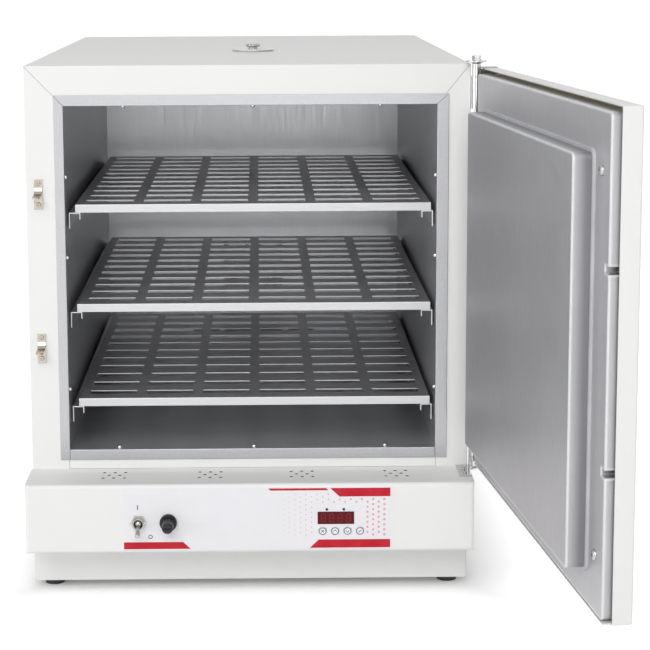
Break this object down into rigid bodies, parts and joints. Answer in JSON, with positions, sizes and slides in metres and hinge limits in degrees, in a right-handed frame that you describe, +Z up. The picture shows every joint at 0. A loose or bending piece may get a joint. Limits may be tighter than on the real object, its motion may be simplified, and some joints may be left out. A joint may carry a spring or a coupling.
{
  "type": "laboratory drying oven",
  "caption": "Bench drying oven with a hinged insulated door, pull-out slotted shelves, a control box with switch, fuse and keys, and a roof vent with a turning damper.",
  "frame": {"origin": "on the floor under the middle of the whole part with its door standing open as at rest", "axes": "+X to the oven's right, +Y from the open door to the back, +Z up"},
  "size_m": [0.561, 1.178, 0.591],
  "materials": {
    "white_paint": "fine textured powder coat",
    "chamber_sheet": "satin grey sheet",
    "shelf_sheet": "satin",
    "door_sheet": "smooth grey enamel",
    "chrome_steel": "polished",
    "nickel": "nickel plated",
    "zinc_steel": "zinc plated",
    "black_rubber": "matt",
    "grey_silicone": "matt",
    "label_film": "printed film",
    "display_red": "dark tinted",
    "key_plastic": "satin",
    "black_plastic": "satin",
    "wool": "mineral wool",
    "motor_paint": "satin",
    "fan_metal": "bare"
  },
  "bodies": {
    "oven": {"casing_left": "white_paint", "casing_right": "white_paint", "casing_top": "white_paint", "deck_panel": "white_paint", "base_front": "white_paint", "base_floor": "white_paint", "rear_cover": "white_paint", "chamber_left": "chamber_sheet", "chamber_right": "chamber_sheet", "chamber_top": "chamber_sheet", "chamber_floor": "chamber_sheet", "chamber_back": "chamber_sheet", "chamber_wool": "wool", "rail_upper_left": "zinc_steel", "rail_upper_right": "zinc_steel", "rail_middle_left": "zinc_steel", "rail_middle_right": "zinc_steel", "rail_lower_left": "zinc_steel", "rail_lower_right": "zinc_steel", "fan_duct": "zinc_steel", "fan_motor": "motor_paint", "heater": "zinc_steel", "control_box": "white_paint", "label_plate": "label_film", "display_unit": "black_plastic", "display_window": "display_red", "toggle_body": "chrome_steel", "toggle_nut": "chrome_steel", "fuse_body": "black_plastic", "vent_tube": "zinc_steel", "catch_upper": "nickel", "catch_lower": "nickel", "hinge_top_fixed": "chrome_steel", "hinge_top_pin": "chrome_steel", "hinge_low_fixed": "chrome_steel", "foot_front_left": "black_rubber", "foot_front_right": "black_rubber", "foot_rear_left": "black_rubber", "foot_rear_right": "black_rubber", "cable_gland": "black_plastic"},
    "door": {"door_shell": "white_paint", "door_lining": "door_sheet", "door_plug": "door_sheet", "door_seal": "grey_silicone", "door_wool": "wool", "hinge_top_moving": "chrome_steel", "hinge_low_moving": "chrome_steel"},
    "tray_upper": {"shelf_upper": "shelf_sheet"},
    "tray_middle": {"shelf_middle": "shelf_sheet"},
    "tray_lower": {"shelf_lower": "shelf_sheet"},
    "switch_lever": {"toggle_lever": "chrome_steel"},
    "fuse_cover": {"fuse_cap": "black_plastic"},
    "damper": {"vent_damper": "zinc_steel", "vent_knob": "chrome_steel"},
    "fan": {"fan_wheel": "fan_metal"},
    "press_cancel": {"key_cancel": "key_plastic"},
    "press_up": {"key_up": "key_plastic"},
    "press_down": {"key_down": "key_plastic"},
    "press_set": {"key_set": "key_plastic"}
  },
  "joints": [
    {"name": "door_hinge", "type": "hinge", "parent": "oven", "child": "door", "pos_m": [0.20548, -0.11245, 0.3609], "axis": [0, 0, 1], "range_deg": [-96, 64]},
    {"name": "shelf_upper_slide", "type": "slide", "parent": "oven", "child": "tray_upper", "axis": [0, -1, 0], "range_m": [0, 0.22]},
    {"name": "shelf_middle_slide", "type": "slide", "parent": "oven", "child": "tray_middle", "axis": [0, -1, 0], "range_m": [0, 0.22]},
    {"name": "shelf_lower_slide", "type": "slide", "parent": "oven", "child": "tray_lower", "axis": [0, -1, 0], "range_m": [0, 0.22]},
    {"name": "toggle_tilt", "type": "hinge", "parent": "oven", "child": "switch_lever", "pos_m": [-0.15922, -0.17005, 0.0958], "axis": [1, 0, 0], "range_deg": [-56, 0]},
    {"name": "fuse_cap_turn", "type": "hinge", "parent": "oven", "child": "fuse_cover", "pos_m": [-0.12722, -0.17705, 0.0958], "axis": [0, -1, 0], "range_deg": [0, 90]},
    {"name": "vent_turn", "type": "hinge", "parent": "oven", "child": "damper", "pos_m": [-0.03412, 0.16605, 0.585], "axis": [0, 0, 1], "range_deg": [0, 60]},
    {"name": "fan_spin", "type": "hinge", "parent": "oven", "child": "fan", "pos_m": [-0.03652, 0.46805, 0.2625], "axis": [0, 1, 0], "continuous": true},
    {"name": "key_cancel_press", "type": "slide", "parent": "oven", "child": "press_cancel", "axis": [0, 1, 0], "range_m": [0, 0.0005], "stiffness_N_per_m": 1000},
    {"name": "key_up_press", "type": "slide", "parent": "oven", "child": "press_up", "axis": [0, 1, 0], "range_m": [0, 0.0005], "stiffness_N_per_m": 1000},
    {"name": "key_down_press", "type": "slide", "parent": "oven", "child": "press_down", "axis": [0, 1, 0], "range_m": [0, 0.0005], "stiffness_N_per_m": 1000},
    {"name": "key_set_press", "type": "slide", "parent": "oven", "child": "press_set", "axis": [0, 1, 0], "range_m": [0, 0.0005], "stiffness_N_per_m": 1000}
  ]
}
